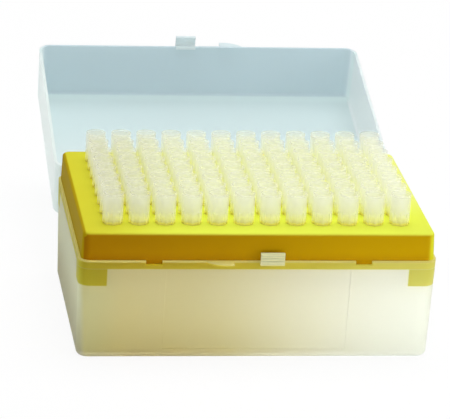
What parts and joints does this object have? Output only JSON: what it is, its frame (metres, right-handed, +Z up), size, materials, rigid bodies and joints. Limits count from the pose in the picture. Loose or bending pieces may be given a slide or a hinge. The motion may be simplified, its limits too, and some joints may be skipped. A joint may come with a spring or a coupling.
{
  "type": "box of pipette tips",
  "caption": "Hinged translucent laboratory box holding a yellow rack of pipette tips in a standard grid, with a snap lid on two rear hinges.",
  "frame": {"origin": "centre of the base's underside", "axes": "+X to the right along the long side, front with the latch towards -Y, hinges at +Y, +Z up"},
  "size_m": [0.124, 0.1849, 0.0615],
  "materials": {
    "frosted_base": "frosted translucent polypropylene, yellow from the rack behind it",
    "frosted_lid": "frosted translucent polypropylene",
    "yellow_rack": "fine satin, opaque bright yellow",
    "clear_tips": "smooth translucent natural polypropylene"
  },
  "bodies": {
    "box": {"base": "frosted_base", "rack": "yellow_rack", "tips_column_01": "clear_tips", "tips_column_02": "clear_tips", "tips_column_03": "clear_tips", "tips_column_04": "clear_tips", "tips_column_05": "clear_tips", "tips_column_06": "clear_tips", "tips_column_07": "clear_tips", "tips_column_08": "clear_tips", "tips_column_09": "clear_tips", "tips_column_10": "clear_tips", "tips_column_11": "clear_tips", "tips_column_12": "clear_tips"},
    "lid": {"lid": "frosted_lid"}
  },
  "joints": [
    {"name": "lid_hinge", "type": "hinge", "parent": "box", "child": "lid", "pos_m": [0, 0.0463, 0.037], "axis": [1, 0, 0], "range_deg": [0, 167]}
  ]
}
